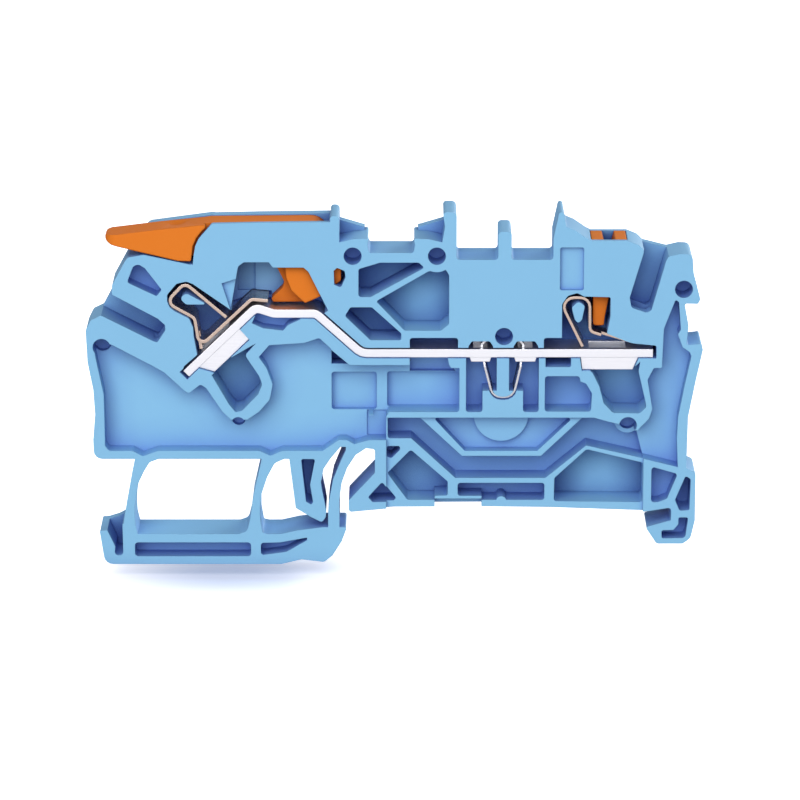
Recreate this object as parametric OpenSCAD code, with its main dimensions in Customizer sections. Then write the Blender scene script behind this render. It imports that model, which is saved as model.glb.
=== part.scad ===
// Feed-through terminal block for a 35 mm rail, with a clamping lever on the
// left, a push button on the right and two jumper slots in the middle.
// X runs along the block, Y through its thickness and Z up. The origin lies
// on the centre line of the rail, at the rail's upper edge, at mid thickness.

/* [Block] */
// Thickness of the block, which is the pitch on the rail
block_t = 5.2; // [4.8:0.1:6.2]
// Wall left behind the channels that hold the metal pieces
floor_t = 0.85; // [0.6:0.05:1]
// Wall in front of the lever and of the push button
front_wall = 0.6; // [0.5:0.05:0.8]
// Wall behind the lever
lever_wall = 1.3; // [1:0.05:1.5]
// Depth of the large flats below the open side
flat_depth = 2.1; // [1.6:0.1:2.6]
// Depth of the middle compartments
cell_depth = 3; // [2.4:0.1:3.6]
// Depth of the grooves in the beam of the release foot
groove_depth = 2.3; // [1.5:0.1:3]
// Radius of the round sockets in the open side
socket_r = 0.94; // [0.7:0.02:1]
// Depth of the round sockets
socket_depth = 3; // [2:0.1:3.6]

/* [Rail] */
// Width of the rail
rail_w = 35; // [34.6:0.1:35.4]
// Height of the mouth that takes the fixed edge of the rail
rail_mouth = 1.35; // [1.1:0.05:1.6]

/* [Current bar] */
// Thickness of the bar
bar_t = 0.87; // [0.7:0.01:1]
// Width of the bar through the block
bar_w = 4; // [3.6:0.1:4.1]
// Height of the bar's upper face in the middle of the block
bar_top = 17.87; // [17.75:0.01:17.95]
// Depth of the conductor collars below the bar
collar_h = 1.5; // [1:0.1:1.7]
// Wall of the collars at their front and back
collar_wall = 0.7; // [0.5:0.05:1]

/* [Springs] */
// Thickness of the left clamping spring
left_spring_t = 0.33; // [0.25:0.01:0.36]
// Thickness of the right clamping spring
right_spring_t = 0.28; // [0.2:0.01:0.36]
// Thickness of the jumper spring
jumper_spring_t = 0.22; // [0.16:0.01:0.3]
// Width of the springs through the block
spring_w = 3.9; // [3:0.1:4.1]
// Gap round the metal pieces in their channels
fit_gap = 0.06; // [0.03:0.01:0.1]

/* [Lever] */
// Place of the lever's pivot along the block
pivot_x = -20.5; // [-20.8:0.05:-20.3]
// Height of the lever's pivot
pivot_z = 29.75; // [29.6:0.05:29.9]
// Radius of the lever's hub
hub_r = 1.9; // [1.7:0.05:2]
// Radius of the stub journals
journal_r = 1; // [0.8:0.05:1.2]
// Length of a journal beside the hub
journal_l = 0.3; // [0.2:0.05:0.35]
// Radial clearance of the journals
journal_gap = 0.05; // [0.03:0.01:0.08]
// Gap beside the lever and round its hub
lever_gap = 0.1; // [0.06:0.01:0.15]
// Angle through which the lever opens
lever_open = 60; // [40:1:60]

/* [Push button] */
// Length of the button's head along the block
head_l = 3.7; // [3.4:0.05:3.8]
// Width of the button's head through the block
head_w = 3.8; // [3.2:0.05:3.9]
// Height of the button's upper face
head_top = 29.75; // [29.5:0.05:30]
// Height of the button's head
head_h = 4.4; // [4:0.1:4.5]
// Travel of the button
button_travel = 1.6; // [1:0.1:1.6]
// Gap round the button in its well
button_gap = 0.08; // [0.05:0.01:0.12]
// Width of the screwdriver slot at the upper face
driver_slot = 1.3; // [0.8:0.1:1.5]

/* [Jumper slots] */
// Width of a jumper slot
slot_w = 4.38; // [4.1:0.02:4.5]
// Height of the slots' floor
slot_floor = 27.7; // [27.4:0.1:28]
// Height of the tall posts beside the slots
post_top = 32.85; // [32.2:0.05:33.4]
// Height of the post between the slots
mid_post_top = 30.75; // [30.2:0.05:31.2]

/* [Hidden] */
$fn = 48;

housing_blue = "#85b5df";
lever_orange = "#ec8336";
tin = "#e8e6ea";
spring_steel = "#cfc2b8";

front = -block_t / 2;
back = block_t / 2;
metal_back = back - floor_t - fit_gap;
metal_front = metal_back - bar_w;
metal_y = (metal_front + metal_back) / 2;
channel_depth = block_t - floor_t;
over = 1;

// Direction of a vector
function unit(v) = v / norm(v);

// Plan point of an outline entry, without its corner radius
function flat2(p) = [p[0], p[1]];

// Corner q between p and n, rounded to the radius in q[2], limited by its sides
function corner(p, q, n) =
    let (
        r = is_undef(q[2]) ? 0 : q[2],
        to_p = flat2(p) - flat2(q),
        to_n = flat2(n) - flat2(q),
        u = unit(to_p),
        v = unit(to_n),
        half = acos(max(-1, min(1, u * v))) / 2,
        t = min(r / tan(half), 0.49 * min(norm(to_p), norm(to_n)))
    )
    r == 0 || half > 89 ? [flat2(q)] :
    let (
        c = flat2(q) + unit(u + v) * t / cos(half),
        from = flat2(q) + u * t - c,
        to = flat2(q) + v * t - c,
        start = atan2(from[1], from[0]),
        turn = atan2(from[0] * to[1] - from[1] * to[0], from * to),
        steps = max(2, ceil(abs(turn) / 24))
    )
    [for (i = [0:steps]) c + norm(from) * [cos(start + turn * i / steps), sin(start + turn * i / steps)]];

// Closed outline with its corners rounded
function rounded(pts) =
    let (n = len(pts))
    [for (i = [0:n - 1]) each corner(pts[(i + n - 1) % n], pts[i], pts[(i + 1) % n])];

// Open path with its bends rounded
function bent(path) =
    let (last = len(path) - 1)
    [for (i = [0:last])
        each i == 0 || i == last ? [flat2(path[i])] : corner(path[i - 1], path[i], path[i + 1])];

// Path moved sideways to its left by d
function side(path, d) =
    let (last = len(path) - 1)
    [for (i = [0:last])
        let (
            a = unit(i == 0 ? path[1] - path[0] : path[i] - path[i - 1]),
            b = i == last ? a : unit(path[i + 1] - path[i]),
            m = unit(a + b)
        )
        path[i] + [-m[1], m[0]] * d / (m * a)];

// Outline of a strip that reaches left and right of a bent path
function strip(path, left, right) =
    let (
        p = bent(path),
        far = side(p, -right)
    )
    concat(side(p, left), [for (i = [len(far) - 1:-1:0]) far[i]]);

// Plate between two depths, from an outline in X and Z
module slab(from, to) {
    translate([0, to, 0]) rotate([90, 0, 0]) linear_extrude(to - from) children();
}

// Outlines joined to one flat shape
module joined() {
    offset(delta = 0) children();
}

// Cutter that reaches from the open side to a depth
module sink(depth) {
    slab(front - over, front + depth) children();
}

// Closed outline as a flat shape
module shape(pts) {
    polygon(rounded(pts));
}

// Round pin along Y between two depths
module pin(x, z, r, from, to) {
    translate([x, to, z]) rotate([90, 0, 0]) cylinder(r = r, h = to - from);
}

// The current bar follows the path of its upper face
bar_bottom = bar_top - bar_t;
bar_start = [-34, bar_top - 2.37];
bar_peak = [-26.4, bar_top + 5.03];
bar_upper = bar_top + 4.33;
bar_end = 15.65;
bend_inside = 0.33;
bar_bend = bar_t + bend_inside;
bar_path = [bar_start, concat(bar_peak, bar_bend), [-24.3, bar_upper, bar_bend],
            [-19.75, bar_upper, bar_bend], [-15, bar_top, bar_bend], [bar_end, bar_top]];
incline = atan2(bar_peak[1] - bar_start[1], bar_peak[0] - bar_start[0]);

// Conductor collars: start and end under the bar, and of the hole in each
left_collar = [1.45, 7.5];
left_hole = [2.6, 6.8];
right_collar = [8, 14.1];
right_hole = [8.9, 12.8];

// Collars stand in from the bar's edges by this much
collar_inset = 0.1;

// Jumper collars and their holes
jumper_collars = [[-3.75, -1.4], [0.95, 3.4]];
jumper_rim = 0.42;
jumper_collar_h = 0.5;

// Centre lines of the three springs, from tip to tip
left_spring_path = [[-29.4, bar_top + 3.48], [-33.75, bar_top + 7.23, 0.7], [-35.75, bar_top + 5.08, 0.75],
                    [-32.75, bar_top + 3.38, 0.7], [-32.28, bar_top + 0.18, 0.6],
                    [-26.75, bar_top + 5.43, 0.6], [-25, bar_top + 5.28]];
left_tail_path = [[-32.4, bar_top + 1.7], [-32.15, bar_top - 0.22]];
right_knee = [8.97, bar_top + 1.93];
right_tip = [13.4, bar_top + 0.55];
right_spring_path = [[8.2, bar_top + right_spring_t], [5.62, bar_top + 5.61, 1.15], [8.92, bar_top + 5.61, 1],
                     concat(right_knee, 0.6), right_tip];
jumper_spring_path = [[-2, bar_top + 0.73], [-2.45, bar_top + 0.3, 0.2], [-2.25, bar_top - 1.37, 2],
                      [-1.25, bar_top - 5.3, 1.15], [0.9, bar_top - 5.3, 1.15],
                      [1.8, bar_top - 1.37, 2], [1.98, bar_top + 0.3, 0.2], [1.6, bar_top + 0.73]];
spring_front = metal_back - spring_w;
tongue_from = 0.27;

// Places a child along the inclined part of the bar, with X along its upper face
module on_incline() {
    translate([bar_start[0], 0, bar_start[1]]) rotate([0, -incline, 0]) children();
}

// Collars seen from the open side, grown by a gap for their room in the housing
function left_collar_outline(g) =
    let (low = -bar_t - collar_h - g)
    [[left_collar[0] - g, -bar_t / 2], [left_collar[1] + g, -bar_t / 2], [left_collar[1] + g - 0.1, low],
     [left_collar[0] - g + 0.85, low], [left_collar[0] - g, -bar_t]];

function right_collar_outline(g) =
    let (low = bar_bottom - collar_h + 0.15 - g)
    [[right_collar[0] - g, bar_top - bar_t / 2], [right_collar[1] + g, bar_top - bar_t / 2],
     [right_collar[1] + g, bar_bottom], [right_collar[1] + g - 0.6, low], [right_collar[0] - g + 0.2, low],
     [right_collar[0] - g, bar_bottom]];

function jumper_collar_outline(span, g) =
    let (low = bar_bottom - jumper_collar_h - g)
    [[span[0] - g, bar_bottom + 0.1], [span[1] + g, bar_bottom + 0.1], [span[1] + g - 0.2, low],
     [span[0] - g + 0.2, low]];

// Opening through the bar and a collar, between two places along X
module collar_hole(span, depth) {
    translate([span[0], metal_front + collar_wall, -depth - over])
        cube([span[1] - span[0], bar_w - 2 * collar_wall, depth + 2 * over]);
}

// Tin-plated copper bar with its collars drawn down below it
module current_bar() color(tin) difference() {
    union() {
        slab(metal_front, metal_back) polygon(strip(bar_path, 0, bar_t));
        on_incline()
            slab(metal_front + collar_inset, metal_back - collar_inset) shape(left_collar_outline(0));
        slab(metal_front + collar_inset, metal_back - collar_inset) {
            shape(right_collar_outline(0));
            for (span = jumper_collars) shape(jumper_collar_outline(span, 0));
        }
    }
    on_incline() collar_hole(left_hole, bar_t + collar_h);
    translate([0, 0, bar_top]) {
        collar_hole(right_hole, bar_t + collar_h);
        for (span = jumper_collars)
            collar_hole([span[0] + jumper_rim, span[1] - jumper_rim], bar_t + jumper_collar_h);
    }
}

// Left spring: loop with its holding leg, clamping tongue and pull strip
module left_clamp_spring() color(spring_steel) {
    slab(spring_front, metal_back) polygon(strip(left_spring_path, left_spring_t / 2, left_spring_t / 2));
    slab(metal_y - spring_w / 4, metal_y + spring_w / 4)
        polygon(strip(left_tail_path, left_spring_t / 2, left_spring_t / 2));
}

// Right spring: holding leg and loop at full width, and a narrow clamping tongue
module right_clamp_spring() color(spring_steel) {
    shoulder = right_knee + (right_tip - right_knee) * tongue_from;
    loop = [for (i = [0:3]) right_spring_path[i]];
    slab(spring_front, metal_back)
        polygon(strip(concat(loop, [shoulder]), right_spring_t / 2, right_spring_t / 2));
    slab(metal_y - spring_w / 4, metal_y + spring_w / 4)
        polygon(strip(right_spring_path, right_spring_t / 2, right_spring_t / 2));
}

// Outline of the jumper spring, wider by the gap of its channel
module jumper_outline(gap = 0) {
    polygon(strip(jumper_spring_path, jumper_spring_t / 2 + gap, jumper_spring_t / 2 + gap));
}

// Jumper spring: full width in the housing, narrow where its tips pass the bar
module jumper_spring() color(spring_steel) {
    tip_w = bar_w - 2 * collar_wall - 4 * fit_gap;
    slab(metal_y - tip_w / 2, metal_y + tip_w / 2) jumper_outline();
    intersection() {
        slab(spring_front, metal_back) jumper_outline();
        translate([-4, front, bar_top - 8]) cube([8, block_t, 8 - bar_t - 2 * jumper_collar_h]);
    }
}

// Room of the lever between the two walls of the housing
lever_front = front + front_wall + lever_gap;
lever_back = back - lever_wall - lever_gap;
lever_mid = (lever_front + lever_back) / 2;
lever_top = pivot_z + hub_r;
slot_end = pivot_x + hub_r + lever_gap;
lever_shoulder = -33.2;
web_drop = 1.75;
handle_dimple = [-34.7, lever_top + 1.35, 2.1];

// Web of the lever from its handle to the top of its hub
module lever_web() {
    web_bottom = pivot_z - web_drop;
    shape([[lever_shoulder - 0.3, web_bottom], [lever_shoulder - 0.3, lever_top - 0.45],
           [-31, lever_top - 0.1], [pivot_x, lever_top], [pivot_x, web_bottom]]);
}

// Cam that lifts the left spring, with the heel seen beside it
module lever_cam() {
    shape([[-24, 27.2], [-24.2, 26.6, 0.4], [-23.3, 24.75, 0.3], [-23.5, 24.1, 0.4],
           [-24.7, bar_upper + 0.75, 0.2], [-24.5, bar_upper + 0.35, 0.2], [-20.5, bar_upper + 0.4, 0.5],
           [-19.5, 23.4, 0.3], [-17.3, 25.3, 0.4], [-17.3, 26.6, 0.3], [pivot_x, pivot_z]]);
}

// Thicker part of the cam towards the open side
module lever_cam_front() {
    shape([[-23.2, 27.2], [-23.05, 25.6, 0.6], [-22.5, 24.2, 0.4], [-21.1, bar_upper + 0.63, 0.2],
           [-19.6, 23.5, 0.3], [-17.3, 25.3, 0.4], [-17.3, 26.6, 0.3], [pivot_x, pivot_z]]);
}

// Handle in the hand's reach, as wide as the room behind it allows
module lever_handle() {
    shape([[-42.1, lever_top - 1.4, 0.6], [-36.5, lever_top - 0.7], [-31.2, lever_top - 0.15, 0.2],
           [-31.9, lever_top - 0.85], [-32.45, lever_top - 1.55], [-32.85, lever_top - 2.45],
           [lever_shoulder + 0.15, lever_top - 4.1, 0.2], [-34.4, lever_top - 4.05], [-39.6, lever_top - 2.8],
           [-41.5, lever_top - 2.35, 0.7], [-42.1, lever_top - 1.95, 0.4]]);
}

// Outline turned about the lever's pivot, handle upwards
module lever_turned(angle) {
    translate([pivot_x, pivot_z]) rotate(-angle) translate([-pivot_x, -pivot_z]) children();
}

// Lever: handle, web, hub on two stub journals, and a cam in two steps
module lever() color(lever_orange) {
    difference() {
        slab(front, lever_back) lever_handle();
        translate([handle_dimple[0], lever_mid, handle_dimple[1]]) sphere(r = handle_dimple[2]);
    }
    slab(lever_front, lever_back) lever_web();
    pin(pivot_x, pivot_z, hub_r, lever_front, lever_back);
    pin(pivot_x, pivot_z, journal_r, lever_front - journal_l, lever_back + journal_l);
    slab(lever_front, lever_mid) lever_cam_front();
    slab(lever_mid, lever_back) lever_cam();
}

// Push button in its well
head_x = 10.9;
head_bottom = head_top - head_h;
stem_w = 3;
stem_bottom = bar_top + 2.43;
driver_depth = 1.1;
well_floor = head_bottom - button_travel - 0.2;

// Head with its screwdriver slot, and the stem that meets the spring
module push_button() color(lever_orange) difference() {
    union() {
        translate([head_x - head_l / 2, -head_w / 2, head_bottom]) cube([head_l, head_w, head_h]);
        slab(-stem_w / 2, stem_w / 2)
            shape([[9.3, head_bottom + 1], [9.3, stem_bottom, 0.3], [10.45, stem_bottom, 0.2],
                   [10.55, stem_bottom + 1], [10.95, stem_bottom + 3.1], [11, head_bottom + 1]]);
    }
    slab(-head_w, head_w) translate([head_x, head_top])
        polygon([[-driver_slot / 4, -driver_depth], [driver_slot / 4, -driver_depth], [driver_slot / 2, 0],
                 [driver_slot / 2, over], [-driver_slot / 2, over], [-driver_slot / 2, 0]]);
}

// Jumper slots on both sides of the middle post, and the rail under the block
rail_r = rail_w / 2;
mid_post = [-0.75, 0.65];
slot_1 = mid_post[0] - slot_w;
slot_2 = mid_post[1] + slot_w;
slot_round = 0.35;
bottom = -5.88;
rim_top = 6.75;

// Block seen from the open side, without the release foot
module body_outline() {
    shape([[-43.6, 5.86, 0.9], [-43.65, 8], [-43.4, 10.8], [-43.55, 13.5], [-44.1, 16.5], [-44.25, 20, 0.5],
           [-43.7, 21.1, 0.4], [-42.6, 21.65], [-41.4, 23.93], [-41.4, 24.9, 0.3], [-40, 27.5],
           [-39.7, 27.95, 0.5], [-38, 28.25, 0.8], [-33.2, lever_top - 4.45], [-32.85, lever_top - 4.45],
           [-32.74, lever_top - 3.35], [-32.57, lever_top - 2.45], [-32.2, lever_top - 1.65],
           [-31.6, lever_top - 0.95], [-30.8, lever_top - 0.05, 0.4], [-26, lever_top + 0.05],
           [slot_end + 0.1, lever_top + 0.15],
           [slot_end + 0.1, lever_top + 0.8, 0.4], [slot_end + 1.05, lever_top + 0.8, 0.4],
           [slot_end + 1.05, 29.6], [-15.9, 29.95], [-14.35, 30, 0.2],
           [-14.5, 29.3, 0.3], [-14.35, 28.45, 0.3], [-9.65, 28.45, 0.3], [-9.5, 29.3, 0.3],
           [-9.65, 30, 0.2], [-8.1, 29.95], [-6.65, 29.6], [-6.35, 31.3], [-6.6, post_top, 0.35],
           [slot_1, post_top, 0.5], [slot_1, slot_floor, slot_round], [mid_post[0], slot_floor, slot_round],
           [mid_post[0], mid_post_top, 0.4], [mid_post[1], mid_post_top, 0.4],
           [mid_post[1], slot_floor, slot_round], [slot_2, slot_floor, slot_round], [slot_2, 30],
           [slot_2 + 0.6, post_top, 0.25], [slot_2 + 1.05, post_top, 0.3], [6.35, 31.3, 0.3],
           [7.3, 30.9], [8.6, 30, 0.4], [9.1, 29.75], [12.9, 29.75, 0.4], [14, 29.3], [14.6, 28.7],
           [17.15, 28.05], [18.4, 28.35], [19.65, 28.3, 0.6], [19.8, 26.2], [20.55, 23.4, 0.3],
           [20.3, 22.92, 0.2], [18.9, 22.95, 0.2], [19.35, 20.5], [19.15, 18.4, 0.25], [20.3, 18.5],
           [20.75, 18.6, 0.25], [20.9, 17.9], [20.2, 14.5], [19.45, 10.5], [19.35, 4.8, 0.3],
           [rail_r + 2.85, 4.35, 0.4], [rail_r + 2.85, -1], [rail_r + 2.4, -3, 0.8],
           [rail_r + 1.6, -3.58, 0.3], [rail_r - 1.2, -3.58, 0.4], [rail_r - 2.4, -0.4 - rail_mouth, 0.2],
           [rail_r, 0.3 - rail_mouth, 0.2], [rail_r + 0.3, 0.35 - rail_mouth, 0.2],
           [rail_r + 0.3, 0.45, 0.3], [rail_r - 2.5, 0],
           [5, 0.35], [-2.4, 0.45], [-11.8, 0.4], [-16.55, -0.05, 0.3], [-16.55, 1.25, 0.3],
           [-13.75, 4.3, 0.3], [-13.75, 6.95, 0.3], [-14.7, 7.05, 0.6], [-16.8, 7.2], [-17.4, 7.2],
           [-20, 5.86]]);
}

// Release foot: beam with a catch for the rail, hung from springy straps
module foot_outline() {
    beam_top = -2.52;
    shape([[-43.15, -2.15, 0.15], [-42.4, -2.1], [-41.3, -1.75], [-40.3, -1.2], [-39.2, beam_top, 0.3],
           [-23.8, beam_top], [-22, -2.1], [-19.3, -1.75], [0.75 - rail_r, -1.75, 0.2], [-17.3, -3.3],
           [-18.3, -4.9], [-19.2, -5.65, 0.4], [-21.6, -5.35], [-23.8, bottom], [-42.6, bottom, 1]]);
    shape([[-39.2, 6.2], [-39.55, 4.5], [-40.2, 1], [-40.6, -1.5], [-40.5, -4.4], [-38.9, -3.4],
           [-39.35, -1.4], [-39.4, -0.3], [-39.35, 0.8], [-39, 3], [-38.3, 4.5], [-37.7, 5.5, 0.5],
           [-36.6, 5.9], [-36.6, 6.2]]);
    shape([[-25.7, 6.2], [-26.3, 3.5], [-26.75, 1.5], [-27.05, -0.8], [-27.4, -2.2, 0.6], [-28.3, beam_top],
           [-28.3, -3], [-25.2, -3], [-25.2, beam_top], [-25.75, -2.4, 0.3], [-26, -0.8], [-26, 0.5],
           [-25.85, 1.9], [-25.2, 3.9], [-24.4, 5.4, 0.6], [-23.3, 5.9], [-23.3, 6.2]]);
    shape([[-22.9, 6.2], [-22.2, 0.4], [-20.4, -0.7], [-19.4, -1.2, 0.3], [-19, -0.6], [-18.95, 0],
           [-19.1, 1], [-19.4, 2.5], [-19.5, 3.3], [-19.2, 4.8], [-18.4, 6], [-17.4, 7.2], [-17.4, 8.2],
           [-22.9, 8.2]]);
    shape([[-16.8, 8], [-16.85, 6.8], [-17.4, 5.6], [-18.2, 3.6], [-18.65, 1.2], [-18.75, 0],
           [-18.75, -1.9], [-17.55, -1.9], [-17.55, 1.3], [-17.3, 3.2], [-16.7, 4.9], [-15.8, 6.3],
           [-14.7, 7.05], [-14.7, 8]]);
}

// Walls behind the lever and the jumper slots that stand above the front ones
module rear_walls() {
    shape([[-39.1, lever_top - 4.65], [-38.9, lever_top - 2.75, 0.4], [-37.6, lever_top - 0.9, 0.6],
           [-31, lever_top], [-30, lever_top - 0.1], [-30, lever_top - 5.15]]);
    shape([[slot_end + 0.7, 28.6], [slot_end + 0.7, 31.2], [-14.8, 30.3], [-15, 29.3], [-15, 28.6]]);
    shape([[-9, 28.6], [-9, 29.3], [-9.2, 30.3], [-6.2, 31.2], [-6.2, 28.6]]);
}

frame_depth = 0.5;
swing_step = 10;
window_step_depth = 0.25;
vee_depth = 3.4;
funnel_depth = 4.1;
wire_r = 1.3;

// Round tunnel from a funnel to its clamp, between two points in X and Z
module wire_tunnel(from, to) {
    way = to - from;
    translate([from[0], metal_y, from[1]])
        rotate([0, atan2(way[0], way[1]), 0]) cylinder(r = wire_r, h = norm(way));
}

// Path with both ends drawn out by a length
function longer(path, e) =
    let (
        last = len(path) - 1,
        a = unit(flat2(path[0]) - flat2(path[1])),
        b = unit(flat2(path[last]) - flat2(path[last - 1]))
    )
    [for (i = [0:last]) i == 0 ? flat2(path[0]) + a * e : i == last ? flat2(path[last]) + b * e : path[i]];

// Channels that follow the metal pieces with a small gap
module metal_channels() {
    polygon(strip(longer(bar_path, 0.3), 4 * fit_gap, bar_t + fit_gap));
    left_half = left_spring_t / 2 + fit_gap;
    right_half = right_spring_t / 2 + fit_gap;
    polygon(strip(longer(left_spring_path, 0.3), left_half, left_half));
    polygon(strip(longer(right_spring_path, 0.1), right_half, right_half));
    jumper_outline(fit_gap);
    translate(bar_start) rotate(incline) shape(left_collar_outline(fit_gap));
    shape(right_collar_outline(fit_gap));
    for (span = jumper_collars) shape(jumper_collar_outline(span, fit_gap));
}

// Room round the two clamping springs, with the post inside each loop
module spring_pockets() {
    difference() {
        shape([[-28.9, 22.25], [-32.9, 25.1], [-33.6, 25.35, 0.5], [-34.6, 25.1, 0.4], [-35.6, 23.9, 0.4],
               [-35.6, 23.1, 0.3], [-34.9, 22.15, 0.3], [-33.3, 21.3, 0.4], [-32.9, 20.3], [-32.85, 19.4],
               [-32.5, 17.35], [-33.9, 16.1], [-34.2, 15.2], [-26.6, 22.3], [-26.6, 23]]);
        shape([[-34.3, 23.5, 0.5], [-33.6, 24.1, 0.5], [-31.4, 22.85, 0.1], [-33.6, 22.85, 0.4]]);
    }
    difference() {
        shape([[4.1, bar_top - 0.2], [4.1, bar_top + 1.33, 0.3], [6, bar_top + 1.33], [6, 22.9, 0.5],
               [6.6, 23.8, 0.5], [7.6, 24.1, 0.4], [8.3, 23.72], [11.1, 23.65, 0.2], [11.1, 21.5],
               [10.75, bar_top + 1.8, 0.2], [13.3, bar_top + 0.75], [16, bar_top + 0.48, 0.2],
               [16, bar_bottom]]);
        shape([[7, 22.5, 0.4], [7.7, 23.2, 0.4], [8.4, 22.7, 0.3], [8.1, 21.2, 0.3], [7.7, 20.8, 0.2],
               [7.35, 21.2, 0.3]]);
    }
}

// Deepest pockets, above and below the bar
module deep_pockets() {
    shape([[-26.3, 18.6], [-27.45, 17.3, 0.4], [-26, 15.05], [-25.65, 14.1, 0.6], [-26.1, 13],
           [-27.8, 11.2, 0.3], [-28.5, 11, 0.3], [-29.2, 11.9], [-31, 15.1], [-29, 17]]);
    shape([[-15.45, 26.7, 0.3], [-13.2, 27.4, 0.3], [-9.1, 27.4, 0.3], [-8.5, 26.85, 0.2],
           [-14.2, 23.65, 0.3], [-15.45, 23.65, 0.3]]);
    difference() {
        shape([[-8.1, 26.45, 0.2], [-6.3, 26.7, 0.3], [-5.9, 26, 0.3], [-5.9, 20.7, 0.4], [-6.8, 19.98, 0.3],
               [-10.6, 20, 0.3], [-13.6, 23.2, 0.2]]);
        translate(post_socket) circle(r = socket_r + socket_wall);
    }
    shape([[-16.9, 21.6, 0.3], [-16.3, 22.55, 0.3], [-14.05, 22.55, 0.3], [-10.95, 19.7, 0.2],
           [-10.95, 18.95, 0.2], [-14.2, 18.95, 0.3]]);
    shape([[5.3, 1, 0.3], [5.35, 3.6, 0.3], [8.75, 6.8, 0.4], [14.75, 5.3, 0.2], [14.75, 0.9, 0.3]]);
    shape([[-18.35, bar_bottom + 0.9], [-16.4, bar_bottom - 0.78, 0.3], [-10, bar_bottom - 0.78], [-10, 15.8],
           [-18.35, 15.8]]);
    shape([[4.3, 16], [4.3, bar_bottom], [7, bar_bottom], [7, 16, 0.2]]);
    shape([[-10.05, bar_top - 0.2], [-10.05, bar_top + 1.33, 0.3], [-4.95, bar_top + 1.33, 0.3],
           [-4.95, bar_top - 0.2]]);
    for (x = [-3.85, 0.92])
        shape([[x, bar_top - 0.2], [x, bar_top + 0.4], [x + 0.35, bar_top + 0.95, 0.2],
               [x + 2.25, bar_top + 0.95, 0.2], [x + 2.6, bar_top + 0.4], [x + 2.6, bar_top - 0.2]]);
}

// Wire funnels and the pockets of their depth
module funnels() {
    shape([[-43.5, 22.2], [-42.6, 21.65], [-37.15, 18.85, 0.2], [-36.7, 18.7, 0.2], [-35.85, 20, 0.2],
           [-35.85, 20.6, 0.3], [-36.6, 21.3, 0.3], [-41.4, 23.93], [-42.2, 24.4]]);
    shape([[14.7, 30], [14.5, 28.4], [13.1, 23.6, 0.4], [13.3, 22.5, 0.4], [14.9, 21.95, 0.3],
           [15.4, 22.2, 0.3], [16.9, 27.6], [17.15, 28.05], [17.6, 30]]);
    shape([[8.9, bar_bottom - collar_h + 0.2], [9.3, 15.3], [10, 13.9], [10.5, 12], [11.5, 10.95, 0.4],
           [14.3, 10.9, 0.4], [15.05, 11.6, 0.4], [14.15, 15.5], [14.3, bar_bottom - 0.4],
           [13.4, bar_bottom - collar_h + 0.2]]);
    shape([[-9.95, 6.75, 0.3], [-6, 3.2, 0.3], [-6, 1.65, 0.2], [-7.4, 1.6], [-7.4, 1.15], [-10.3, 1.15, 0.3],
           [-12.45, 4.15, 0.3]]);
    shape([[-42.6, -1], [-42.3, -2.15], [-41.5, -3.9], [-41.6, -4.9, 0.4], [-40.65, -4.9, 0.4], [-40.7, -1]]);
}

// Channel along the V-shaped ribs over the rail, and pockets of its depth
module vee_pockets() {
    difference() {
        shape(vee_channel);
        translate(ring_boss) circle(r = ring_r);
    }
    difference() {
        shape([[-4.95, 1.6, 0.3], [-4.95, 3.05, 0.3], [4.3, 3.05, 0.3], [4.3, 1.15, 0.3], [-2.4, 1.15],
               [-2.4, 1.6]]);
        translate(rim_nub) circle(r = nub_r);
    }
    shape([[-12.5, 7.15, 0.2], [-11.1, 7.15, 0.2], [-11.1, 6.7, 0.2], [-12, 5.8, 0.2], [-12.5, 5.95, 0.2]]);
    shape([[-13, 3.3, 0.2], [-11.5, 1.4, 0.2], [-11.75, 1.1, 0.2], [-14, 1.05, 0.2], [-14.5, 1.6, 0.2]]);
    shape([[19.3, 4, 0.2], [19.85, 3.6, 0.2], [19.75, 0.15, 0.2], [18.7, 0.1, 0.3], [18.2, 1.3, 0.2]]);
    shape([[-21.6, 5.85, 0.2], [-20.1, 5.85, 0.2], [-20.65, 3], [-20.35, 1.1, 0.15], [-20.5, 0.75, 0.15],
           [-21.1, 1.1, 0.2]]);
}

// Compartments below the middle of the bar
module cells() {
    shape([[-18.35, 10.75, 0.3], [-18.35, 14.9, 0.3], [-13.55, 14.9, 0.3], [-13.55, 10.75, 0.3]]);
    shape([[-12.45, 11.05, 0.3], [-12.45, 14.95, 0.3], [-4.8, 14.95, 0.3], [-4.8, 11.05, 0.3]]);
    shape([[-10.05, 15], [-10.05, bar_bottom], [-6.05, bar_bottom], [-5.9, 16.3, 0.3], [-5.2, 15]]);
    for (span = [[-4.1, -2.35], [1.95, 3.6]])
        shape([[span[0], 11.05, 0.3], [span[0], bar_bottom], [span[1], bar_bottom], [span[1], 11.05, 0.3]]);
    for (span = [[-2.4, -0.85], [0.45, 2]])
        shape([[span[0], 13.4], [span[0], bar_bottom], [span[1], bar_bottom], [span[1], 13.4]]);
    shape([[4.25, 11.1, 0.3], [4.25, 15, 0.3], [7.9, 15, 0.3], [8, 14.4], [8.6, 14.2, 0.3], [9.25, 13.1, 0.3],
           [9.15, 11.1, 0.3]]);
}

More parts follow.
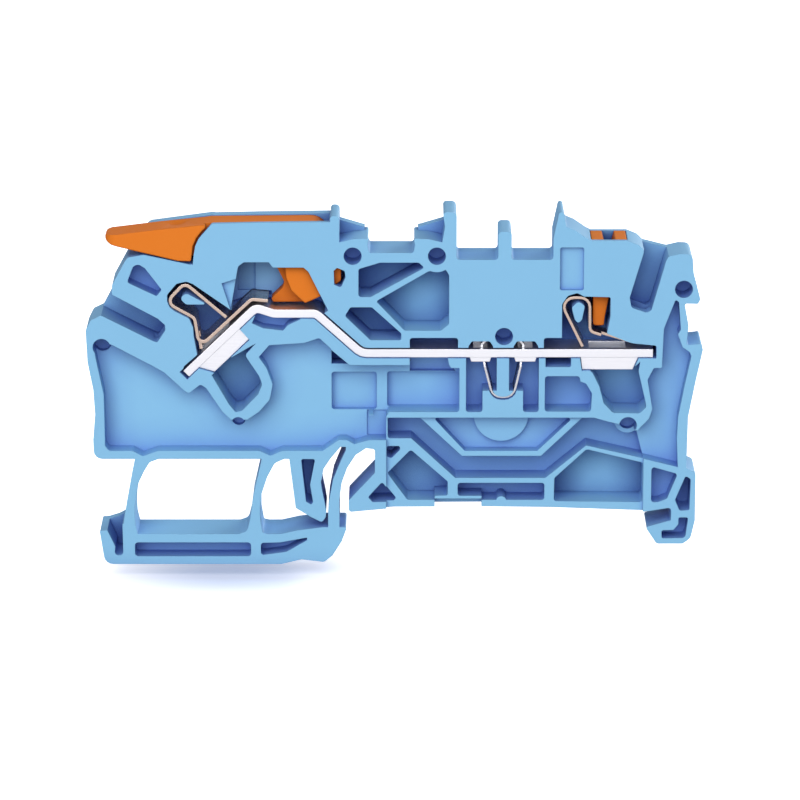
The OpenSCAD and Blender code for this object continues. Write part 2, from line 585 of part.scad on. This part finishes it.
// Grooves of the release foot, and the small pockets of their depth
module grooves() {
    shape([[-38.6, 27.25, 0.5], [-37.9, 26.8, 0.2], [-36.15, 24.45, 0.2], [-36.7, 23.75, 0.2],
           [-39.8, 25.25, 0.3], [-39.15, 26.95, 0.3]]);
    shape([[-14.6, 7.95], [-14.6, 10.7], [-12.55, 10.7], [-12.55, 7.95]]);
    shape([[15.65, 4.7, 0.2], [15.85, 4.95, 0.2], [18.45, 4.2, 0.3], [17.35, 1.45, 0.2], [16.4, 1.05, 0.3],
           [15.65, 1.05, 0.3]]);
    shape([[18.6, -0.65, 0.2], [19.65, -0.65, 0.2], [19.35, -2.95, 0.4], [16.85, -3, 0.2], [16.8, -2.1, 0.2],
           [18.1, -2.05, 0.2], [18.6, -1.4, 0.2]]);
    shape([[-39.4, -3.45, 0.35], [-27, -3.45, 0.35], [-27, -5, 0.35], [-39.4, -5, 0.35]]);
    shape([[-25.95, -3.5, 0.3], [-23.9, -3.45, 1], [-21, -2.9, 0.1], [-21, -3.2, 0.1], [-23.2, -4.5, 1.5],
           [-25.95, -4.9, 0.3]]);
}

// Large flats on both sides and under the bar
module flats() {
    shape([[-43.35, 17.6, 0.3], [-41.6, 18.5], [-37, 16], [-36, 15.4], [-33.9, 13.4], [-33.45, 13.1, 0.3],
           [-32.2, 14.1, 0.3], [-31.6, 13.7], [-29.9, 11.1], [-29, 10.2], [-27.3, 10.2], [-26, 11.1],
           [-24.9, 12.4], [-24.55, 14.1, 0.6], [-25.2, 15.9], [-26, 17.1], [-24.9, 18.4], [-21.2, 18.65],
           [-19.6, 19.2, 0.3], [-18.35, 18], [-18.35, 11.2], [-13.7, 11.2], [-14.4, 10.75],
           [-14.4, 7.95], [-15.9, 7.5], [-16.8, 7.95], [-17.6, 7.95],
           [-19.3, rim_top], [-23.6, rim_top], [-24.85, 6.2, 0.3],
           [-26, rim_top], [-36.8, rim_top], [-38.4, 6.15, 0.3], [-39.5, rim_top], [-42, rim_top, 0.4],
           [-42.4, 7.3], [-42.45, 13], [-43.05, 16]]);
    shape([[-26.7, 20.8], [-25.5, 20.25], [-23.4, 20, 0.2], [-22.9, 20.6, 0.2], [-21.6, 21.2], [-21.6, 22],
           [-26.2, 22]]);
    shape([[-18.6, 14], [-18.6, 15.9], [-10.1, 15.9], [-4.8, 15.9], [-4.8, 14]]);
    shape([[-13.9, 10.5], [-13.9, 14.5], [-12.2, 14.5], [-12.2, 11.2], [-12.55, 10.5]]);
    shape([[-7.4, -0.5], [-7.4, 1.3], [-2.4, 1.3], [-2.4, -0.5]]);
    shape([[17.95, 23.4, 0.35], [18.3, 23.1, 0.2], [18.55, 20.1, 0.3], [18.25, 19.6, 0.2], [18.75, 18.2, 0.2],
           [19.5, 17.65, 0.2], [19.7, 17.2], [19, 13.8], [18.4, 10.5], [18.3, 8], [18.45, 4.95],
           [14.5, 5.95], [13.8, 8.7], [15.3, 10.3, 0.4], [15.65, 11.4, 0.4], [15.1, 14.6, 0.3],
           [15.75, 15.9, 0.2], [16.6, 15.9, 0.2], [16.75, 20.2]]);
    shape(vee_channel);
    difference() {
        shape(trapezoid);
        translate(disc_boss) circle(r = disc_r);
    }
}

// Places where the front stands back a little
module front_steps() {
    shape([[-12.55, -1], [-12.55, 10.43], [9.2, 10.43], [12, 9.75], [14.1, 9], [14.8, 6.1], [14.8, -1]]);
    shape([[5.75, 24.4, 0.2], [5.75, 29.05, 0.2], [8.25, 29.05, 0.2], [8.25, 24.4, 0.2]]);
    shape([[-29.85, 25.15], [-28, 25.75], [-28.4, 22.3], [-28.95, 22.3]]);
}

// Places and outlines that several pockets share
post_socket = [-7.2, 28.1];
socket_wall = 0.8;
ring_boss = [13.1, 9.55];
ring_wall = 0.46;
ring_r = socket_r + ring_wall;
vee_channel = [[-12.4, 10.43, 0.3], [-9.1, 10.43], [-4.5, 6.05], [3.9, 6.05], [8.4, 10.43], [9.5, 10.43],
               [12, 9.7], [14, 8.8], [14.75, 5.8], [8.7, 7.2], [4.4, 3.6], [-5.2, 3.6], [-9.9, 8],
               [-12.4, 8, 0.3]];
trapezoid = [[-7.7, 10.43, 0.3], [-4.2, 6.6], [3.5, 6.6], [7.1, 10.1, 0.3], [6.6, 10.43, 0.2]];
disc_boss = [-0.35, 10.35];
rim_nub = [-0.3, 1];
nub_r = 0.55;
disc_r = 2.9;
disc_depth = 1.4;

// Round sockets in the open side
module sockets() {
    for (place = [[-16.05, 28.1], post_socket, [-0.1, 19.35], [18.8, 24.5], [-42.6, 18.15], ring_boss])
        pin(place[0], place[1], socket_r, front - over, front + socket_depth);
    pin(-28.25, 9.75, socket_r - 0.2, front - over, front + socket_depth);
}

// Windows in front of the lever's cam and hub
module cam_windows() {
    shape([[-28.9, 22.4], [-28.3, 25.9], [-28.1, 27, 0.4], [-27.5, 27.44, 0.3], [-24.85, 27.44, 0.2],
           [-24.45, 26.87, 0.2], [-21.2, 26.87, 0.3], [-20.7, 26.4, 0.2], [-18.65, 22.2], [-19.4, 21.6],
           [-28, 21.6]]);
    shape([[-18.05, 26.5], [-17.7, 26.85, 0.2], [-16.9, 26.5, 0.2], [-16.8, 25.8], [-17.3, 24.7, 0.2],
           [-18, 25]]);
}

// Step in the wall behind the cam's window
module window_step() {
    shape([[-28.3, 23.4], [-28.2, 25.9], [-28, 27, 0.4], [-27.5, 27.35, 0.3], [-26.4, 27.35], [-26.4, 23.4]]);
}

// Room of the lever between its two walls, over its whole swing
module lever_room() {
    room_floor = pivot_z - web_drop - 3 * lever_gap;
    room_start = lever_shoulder - 0.8;
    shape([[room_start, room_floor], [room_start, 2 * lever_top], [slot_end, 2 * lever_top],
           [slot_end, room_floor]]);
    translate([pivot_x, pivot_z]) circle(r = hub_r + lever_gap);
    for (angle = [0:swing_step:lever_open])
        lever_turned(angle) offset(delta = lever_gap) {
            lever_web();
            lever_cam();
            lever_cam_front();
        }
}

// Well of the push button, open to the spring below it
module button_well() {
    well = [head_l + 2 * button_gap, head_w + 2 * button_gap];
    translate([head_x - well[0] / 2, -well[1] / 2, well_floor]) cube([well[0], well[1], 20]);
    slab(-stem_w / 2 - button_gap, stem_w / 2 + button_gap)
        shape([[9.2, well_floor + 1], [9.2, bar_top + 3], [11.1, bar_top + 3], [11.1, well_floor + 1]]);
}

// One moulding of polyamide, open towards the front
module housing() color(housing_blue) difference() {
    union() {
        slab(front, back - lever_wall) joined() {
            body_outline();
            foot_outline();
        }
        slab(back - lever_wall, back) joined() {
            body_outline();
            foot_outline();
            rear_walls();
        }
    }
    sink(channel_depth) joined() {
        metal_channels();
        spring_pockets();
        deep_pockets();
    }
    sink(funnel_depth) joined() funnels();
    sink(block_t - lever_wall) joined() cam_windows();
    sink(block_t - lever_wall + window_step_depth) window_step();
    sink(vee_depth) joined() vee_pockets();
    sink(cell_depth) joined() cells();
    sink(groove_depth) joined() grooves();
    sink(flat_depth) joined() flats();
    sink(disc_depth) shape(trapezoid);
    sink(frame_depth) joined() front_steps();
    slab(front + front_wall, back - lever_wall) joined() lever_room();
    pin(pivot_x, pivot_z, journal_r + journal_gap, lever_front - journal_l - lever_gap,
        lever_back + journal_l + lever_gap);
    sockets();
    button_well();
    wire_tunnel([-36.6, 19.9], [-32.4, 17.7]);
    wire_tunnel([14.4, 23], [11.7, bar_top + 0.9]);
}

housing();
lever();
push_button();
current_bar();
left_clamp_spring();
right_clamp_spring();
jumper_spring();
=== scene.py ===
import bmesh
import bpy
import math
import numpy as np
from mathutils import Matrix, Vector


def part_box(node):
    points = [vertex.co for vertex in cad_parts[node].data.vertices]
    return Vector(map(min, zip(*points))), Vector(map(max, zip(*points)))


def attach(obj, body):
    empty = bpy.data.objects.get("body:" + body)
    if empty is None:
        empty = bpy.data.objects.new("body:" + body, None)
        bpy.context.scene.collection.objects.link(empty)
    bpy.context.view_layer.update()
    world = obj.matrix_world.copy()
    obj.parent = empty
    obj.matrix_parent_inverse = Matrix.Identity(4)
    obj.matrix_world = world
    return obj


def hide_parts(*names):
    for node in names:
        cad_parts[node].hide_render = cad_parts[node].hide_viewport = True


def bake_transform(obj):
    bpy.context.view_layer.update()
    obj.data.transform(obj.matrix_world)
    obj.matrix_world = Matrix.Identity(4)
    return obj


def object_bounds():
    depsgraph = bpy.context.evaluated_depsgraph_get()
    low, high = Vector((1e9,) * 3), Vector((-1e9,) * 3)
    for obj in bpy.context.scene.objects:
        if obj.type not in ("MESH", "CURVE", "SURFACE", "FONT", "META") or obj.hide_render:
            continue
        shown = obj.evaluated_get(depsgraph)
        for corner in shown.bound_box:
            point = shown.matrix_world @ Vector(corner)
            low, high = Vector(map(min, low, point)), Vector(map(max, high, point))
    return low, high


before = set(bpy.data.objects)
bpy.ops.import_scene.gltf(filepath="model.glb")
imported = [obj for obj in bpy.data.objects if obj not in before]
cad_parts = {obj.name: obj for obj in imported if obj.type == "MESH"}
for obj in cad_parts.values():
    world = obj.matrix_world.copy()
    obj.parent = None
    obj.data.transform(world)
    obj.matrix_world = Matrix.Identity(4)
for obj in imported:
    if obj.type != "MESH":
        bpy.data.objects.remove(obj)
cad_low, cad_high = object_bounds()

# The camera.
# The block is seen square on its open side from a long lens a little above it, and the picture
# is shifted down slightly.
MM = 0.001
PICTURE_PX = 800
SENSOR_MM = 36
focal_px = 4500
tilt_deg = 14.7
camera_place_mm = (-10.46, -460.3, 145.6)
axis_right_px, axis_up_px = 5.9, 120
nearest_mm = 10

bpy.context.scene.view_settings.view_transform = "Standard"
lens = bpy.data.cameras.new("camera")
lens.sensor_width = SENSOR_MM
lens.lens = focal_px / PICTURE_PX * SENSOR_MM
lens.shift_x = -axis_right_px / PICTURE_PX
lens.shift_y = -axis_up_px / PICTURE_PX
lens.clip_start = nearest_mm * MM
camera = bpy.data.objects.new("camera", lens)
camera.location = [value * MM for value in camera_place_mm]
camera.rotation_euler = (math.radians(90 - tilt_deg), 0, 0)
bpy.context.scene.collection.objects.link(camera)
bpy.context.scene.camera = camera

# The housing.
# One blue polyamide moulding, open towards the viewer, that carries every other piece.
# It comes out of a spark-eroded mould: flat matte faces, with every arris slightly rounded.
WELD = 1e-7
ARRIS = math.radians(28)


def welded_copy(node, name):
    """A copy of a node's solid with its triangles joined to one closed skin."""
    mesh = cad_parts[node].data.copy()
    mesh.materials.clear()
    solid = bmesh.new()
    solid.from_mesh(mesh)
    bmesh.ops.remove_doubles(solid, verts=solid.verts, dist=WELD)
    solid.to_mesh(mesh)
    solid.free()
    piece = bpy.data.objects.new(name, mesh)
    bpy.context.scene.collection.objects.link(piece)
    return piece


def part_arrises(piece):
    """Parts a piece's skin along its arrises, so that smooth shading leaves flat faces flat."""
    solid = bmesh.new()
    solid.from_mesh(piece.data)
    solid.normal_update()
    arrises = [edge for edge in solid.edges if edge.calc_face_angle(0) > ARRIS]
    bmesh.ops.split_edges(solid, edges=arrises)
    solid.to_mesh(piece.data)
    solid.free()
    piece.data.shade_smooth()


def linear(hex_colour):
    """An sRGB hex colour as linear red, green, blue and a full alpha."""
    parts = [int(hex_colour[i:i + 2], 16) / 255 for i in (1, 3, 5)]
    return [p / 12.92 if p <= 0.04045 else ((p + 0.055) / 1.055) ** 2.4 for p in parts] + [1]


def emptied_tree(owner):
    """The node tree of a new material or world, with nothing in it."""
    owner.use_nodes = True
    owner.node_tree.nodes.clear()
    return owner.node_tree


def add(tree, kind, sockets=(), **settings):
    """Adds one node with its settings; sockets are pairs of an input and its value or linked output."""
    made = tree.nodes.new(kind)
    for name, value in settings.items():
        setattr(made, name, value)
    for socket, value in sockets:
        if isinstance(value, bpy.types.NodeSocket):
            tree.links.new(value, made.inputs[socket])
        else:
            made.inputs[socket].default_value = value
    return made


def noise(tree, place, size_mm, detail):
    """Soft random patches about size_mm across, from 0 to 1."""
    sockets = [("Vector", place), ("Scale", 1 / (size_mm * MM)), ("Detail", detail)]
    return add(tree, "ShaderNodeTexNoise", sockets).outputs["Fac"]


def mixed(tree, factor, first, second):
    """The first colour where the factor is 0 and the second where it is 1."""
    sockets = [("Factor", factor), ("A", first), ("B", second)]
    return add(tree, "ShaderNodeMix", sockets, data_type="RGBA").outputs["Result"]


def carried(tree, value, given=(0, 1), wanted=(0, 1), **settings):
    """A value carried over from the given range to the wanted one, and held within it."""
    sockets = [("Value", value), ("From Min", given[0]), ("From Max", given[1]),
               ("To Min", wanted[0]), ("To Max", wanted[1])]
    return add(tree, "ShaderNodeMapRange", sockets, **settings).outputs["Result"]


def surface(tree, height, arris_mm, strength, depth_mm):
    """The direction of a surface that is rounded at its arrises and roughened by a height pattern."""
    soft = add(tree, "ShaderNodeBevel", [("Radius", arris_mm * MM)], samples=6)
    sockets = [("Height", height), ("Strength", strength), ("Distance", depth_mm * MM),
               ("Normal", soft.outputs["Normal"])]
    return add(tree, "ShaderNodeBump", sockets).outputs["Normal"]


def polyamide(name, colour, thin, painted_recess_shade, painted_deepest_shade, arris_mm):
    """Moulded polyamide 66: matte, with the fine grain of a spark-eroded mould.

    The colour drifts a little over millimetres, as moulded stock does. Painted shade darkens it in
    narrow recesses, and darkens it further in those that go nearly through the block, where little
    light comes. The real grain of about 0.03 mm is too fine to show, so it is drawn at 0.12 mm.
    """
    drift_mm, grain_mm, grain_depth_mm = 7, 0.12, 0.01
    # Painted shade: how far walls around a point darken it, and the depths over which it darkens further.
    recess_mm = 3.8
    closed, opened = 0.15, 0.95
    shallow_mm, deepest_mm = 3.2, 4.35

    material = bpy.data.materials.new(name)
    tree = emptied_tree(material)
    place = add(tree, "ShaderNodeTexCoord").outputs["Object"]
    drift = noise(tree, place, drift_mm, detail=3)
    grain = noise(tree, place, grain_mm, detail=2)
    tint = mixed(tree, drift, linear(colour), linear(thin))
    # Painted shade: where ambient occlusion finds walls close by, the colour darkens towards the recess
    # shade.
    shade_occlusion = add(tree, "ShaderNodeAmbientOcclusion", [("Distance", recess_mm * MM)], samples=8)
    clear = carried(tree, shade_occlusion.outputs["AO"], given=(closed, opened))
    # Painted shade: recesses that reach far into the block darken further, towards the deepest shade colour.
    along = add(tree, "ShaderNodeSeparateXYZ", [("Vector", place)])
    deep_shade_range = (cad_low.y + shallow_mm * MM, cad_low.y + deepest_mm * MM)
    deep_shade_factor = carried(tree, along.outputs["Y"], given=deep_shade_range)
    shade = mixed(tree, deep_shade_factor, linear(painted_recess_shade), linear(painted_deepest_shade))
    shader = add(tree, "ShaderNodeBsdfPrincipled", [
        ("Base Color", mixed(tree, clear, shade, tint)),
        ("Roughness", carried(tree, grain, wanted=(0.52, 0.64))),
        ("IOR", 1.53),
        ("Specular IOR Level", 0.06),
        ("Normal", surface(tree, grain, arris_mm, strength=0.1, depth_mm=grain_depth_mm))])
    add(tree, "ShaderNodeOutputMaterial", [("Surface", shader.outputs["BSDF"])])
    return material


# The last two colours are painted shade: one for narrow recesses, a darker one for recesses nearly through
# the block.
blue = polyamide("blue polyamide", colour="#88C0E3", thin="#8CC4E7", painted_recess_shade="#5E7EC4", painted_deepest_shade="#2E4690",
                 arris_mm=0.08)
housing = welded_copy("housing", "moulded_housing")
part_arrises(housing)
housing.data.materials.append(blue)
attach(housing, "block")
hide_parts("housing")

# The lever.
# The wire lever of the left clamp, moulded in orange polyamide, with a handle that overhangs
# the block's end. It clicks into the housing on two stub journals.
nose_radius_mm = 1.5
# The last two colours are painted shade for the orange in recesses, the darker one for the deepest.
orange = polyamide("orange polyamide", colour="#E37B26", thin="#E6812C", painted_recess_shade="#8A3C12", painted_deepest_shade="#5A240A",
                   arris_mm=0.25)


def round_nose(piece, node, radius_mm):
    """Rounds the low-x end of a piece in plan, where its two sides meet a straight end.

    The plan is the node's box with a quarter circle at each corner of that end: a point on the front
    one lies radius * (1 - sine) from the end and radius * (1 - cosine) from the front side, and the
    rear one mirrors it. The plan is carried upwards to a prism, and the piece keeps what is inside.
    """
    low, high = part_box(node)
    radius = radius_mm * MM
    steps = 13
    past = 0.1
    turn = np.linspace(0, math.pi / 2, steps)
    front = np.column_stack([low.x + radius - radius * np.sin(turn), low.y + radius - radius * np.cos(turn)])
    rear = np.column_stack([low.x + radius - radius * np.cos(turn), high.y - radius + radius * np.sin(turn)])
    far = np.array([[past, high.y], [past, low.y]])
    plan = np.vstack([front, rear, far])[::-1]
    count = len(plan)
    bottom = np.column_stack([plan, np.full(count, -past)])
    top = np.column_stack([plan, np.full(count, past)])
    ring = np.arange(count)
    following = np.roll(ring, -1)
    sides = np.column_stack([ring, following, following + count, ring + count]).tolist()
    ends = [ring[::-1].tolist(), (ring + count).tolist()]
    prism = bpy.data.meshes.new("nose plan")
    prism.from_pydata(np.vstack([bottom, top]).tolist(), [], sides + ends)
    keeper = bpy.data.objects.new("nose plan", prism)
    bpy.context.scene.collection.objects.link(keeper)
    cut = piece.modifiers.new("nose", "BOOLEAN")
    cut.operation = "INTERSECT"
    cut.solver = "EXACT"
    cut.object = keeper
    done = piece.evaluated_get(bpy.context.evaluated_depsgraph_get())
    piece.data = bpy.data.meshes.new_from_object(done)
    piece.modifiers.clear()
    bpy.data.objects.remove(keeper)


lever = welded_copy("lever", "moulded_lever")
round_nose(lever, "lever", nose_radius_mm)
part_arrises(lever)
lever.data.materials.clear()
lever.data.materials.append(orange)
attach(lever, "lever")
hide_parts("lever")

# The push button.
# The orange button of the right clamp, with a screwdriver slot in its head. It slides in its
# well and its stem presses on the spring below.
button = welded_copy("push_button", "moulded_button")
part_arrises(button)
button.data.materials.append(orange)
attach(button, "button")
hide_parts("push_button")

# The current bar.
# One copper strip, stamped and bent with its collars and then tin-plated. The tin gives a pale
# satin metal with faint lines along the strip from rolling.


def sheet_metal(name, colour, worn, rough, line_mm, arris_mm):
    """A rolled strip: metal whose colour and gloss vary in fine lines along the strip's length.

    Its stamped arrises are broken, so they catch the light as if rounded to a small radius.
    """
    stretch = 12
    line_depth_mm = 0.005

    material = bpy.data.materials.new(name)
    tree = emptied_tree(material)
    place = add(tree, "ShaderNodeTexCoord").outputs["Object"]
    drawn = add(tree, "ShaderNodeMapping", [("Vector", place), ("Scale", (1 / stretch, 1, 1))])
    lines = noise(tree, drawn.outputs["Vector"], line_mm, detail=3)
    shader = add(tree, "ShaderNodeBsdfPrincipled", [
        ("Base Color", mixed(tree, lines, linear(colour), linear(worn))),
        ("Roughness", carried(tree, lines, wanted=rough)),
        ("Metallic", 1),
        ("Normal", surface(tree, lines, arris_mm, strength=0.08, depth_mm=line_depth_mm))])
    add(tree, "ShaderNodeOutputMaterial", [("Surface", shader.outputs["BSDF"])])
    return material


tin = sheet_metal("tin-plated copper", colour="#E2E2E6", worn="#D2D2D8", rough=(0.34, 0.48), line_mm=0.2,
                  arris_mm=0.07)
bar = welded_copy("current_bar", "tinned_current_bar")
part_arrises(bar)
bar.data.materials.append(tin)
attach(bar, "block")
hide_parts("current_bar")

# The springs.
# Bent strips of spring steel: a loop in each clamp, and a brighter U that grips the jumper pins in
# the middle. The right loop has its placement baked into its mesh and is not attached to a body.
strip_finish = {"rough": (0.22, 0.34), "line_mm": 0.15, "arris_mm": 0.06}
clamp_steel = sheet_metal("warm spring steel", colour="#DAC4B4", worn="#C2AC9E", **strip_finish)
jumper_steel = sheet_metal("bright spring steel", colour="#DEDEE0", worn="#CACACE", **strip_finish)
for strip, steel in (
    ("left_clamp_spring", clamp_steel),
    ("right_clamp_spring", clamp_steel),
    ("jumper_spring", jumper_steel),
):
    spring = welded_copy(strip, strip + "_strip")
    part_arrises(spring)
    spring.data.materials.append(steel)
    if strip == "right_clamp_spring":
        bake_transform(spring)
    else:
        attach(spring, "block")
    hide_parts(strip)

# The floor and the light.
# A plain white sheet just below the block, whose own glow fades to a painted bluish shadow in an
# ellipse under the foot. A wide soft panel stands in front, a smaller one behind on the right, and a
# dim surround fills the pockets.
WHITE = (1, 1, 1, 1)
floor_reach = 3
floor_drop_mm = 1.6
# Where the painted shadow under the foot lies on the floor, how far out it fades, and how it is narrowed
# along the block.
shade_near_mm, shade_far_mm = 1, 12.5
shade_x_mm, shade_y_mm = -29, -1
shade_narrow = 0.5
mirrored_floor = 0.35
surround = 0.16

floor_level = cad_low.z - floor_drop_mm * MM
corners = ((-1, -1), (1, -1), (1, 1), (-1, 1))
floor_points = [(x * floor_reach, y * floor_reach, floor_level) for x, y in corners]
floor_mesh = bpy.data.meshes.new("floor")
floor_mesh.from_pydata(floor_points, [], [(0, 1, 2, 3)])
floor = bpy.data.objects.new("floor", floor_mesh)
bpy.context.scene.collection.objects.link(floor)


def combined(tree, operation, first, second):
    """Two numbers joined by a Math node's operation."""
    return add(tree, "ShaderNodeMath", [(0, first), (1, second)], operation=operation).outputs[0]


def seen_directly(tree, mirrored=1):
    """1 for what the camera sees, also through a clear piece, and 0 for what only lights the scene.

    What is seen in a reflection gets the number mirrored.
    """
    path = add(tree, "ShaderNodeLightPath").outputs
    gloss = combined(tree, "MULTIPLY", path["Is Glossy Ray"], mirrored)
    shown = combined(tree, "MAXIMUM", path["Is Camera Ray"], gloss)
    return combined(tree, "MAXIMUM", shown, path["Is Transmission Ray"])


paper = bpy.data.materials.new("white paper")
tree = emptied_tree(paper)
shown = seen_directly(tree, mirrored=mirrored_floor)
place = add(tree, "ShaderNodeTexCoord").outputs["Object"]
spread = add(tree, "ShaderNodeMapping", [
    ("Vector", place),
    ("Scale", (shade_narrow, 1, 0)),
    ("Location", (-shade_x_mm * shade_narrow * MM, -shade_y_mm * MM, 0))])
away = add(tree, "ShaderNodeVectorMath", [(0, spread.outputs["Vector"])], operation="LENGTH")
shade_range = (shade_near_mm * MM, shade_far_mm * MM)
painted_shadow_fade = carried(tree, away.outputs["Value"], given=shade_range, interpolation_type="SMOOTHSTEP")
# Painted shadow: the floor's glow turns dim blue close under the foot, in place of a cast shadow.
light = mixed(tree, painted_shadow_fade, linear("#566E90"), WHITE)
tone = mixed(tree, shown, linear("#A0A0A0"), linear("#F8F8FA"))
matte = add(tree, "ShaderNodeBsdfDiffuse", [("Color", tone)])
glow = add(tree, "ShaderNodeEmission", [("Color", light), ("Strength", shown)])
both = add(tree, "ShaderNodeAddShader", [(0, matte.outputs[0]), (1, glow.outputs[0])])
add(tree, "ShaderNodeOutputMaterial", [("Surface", both.outputs[0])])
floor_mesh.materials.append(paper)

world = bpy.data.worlds.new("light tent")
tree = emptied_tree(world)
even = add(tree, "ShaderNodeBackground", [("Color", linear("#E8DCFF")), ("Strength", surround)])
white = add(tree, "ShaderNodeBackground", [("Color", WHITE), ("Strength", 1)])
both = add(tree, "ShaderNodeMixShader", [
    ("Fac", seen_directly(tree)), (1, even.outputs[0]), (2, white.outputs[0])])
add(tree, "ShaderNodeOutputWorld", [("Surface", both.outputs[0])])
bpy.context.scene.world = world

for name, lamp_place, lamp_size, watts in (
    ("front panel", (-0.15, -0.72, 0.35), 0.9, 8.6),
    ("rear panel", (0.5, 0.62, 0.2), 0.4, 6),
):
    panel = bpy.data.lights.new(name, "AREA")
    panel.size = lamp_size
    panel.energy = watts
    lamp = bpy.data.objects.new(name, panel)
    lamp.location = lamp_place
    aim = (cad_low + cad_high) / 2 - lamp.location
    lamp.rotation_euler = aim.to_track_quat("-Z", "Y").to_euler()
    bpy.context.scene.collection.objects.link(lamp)
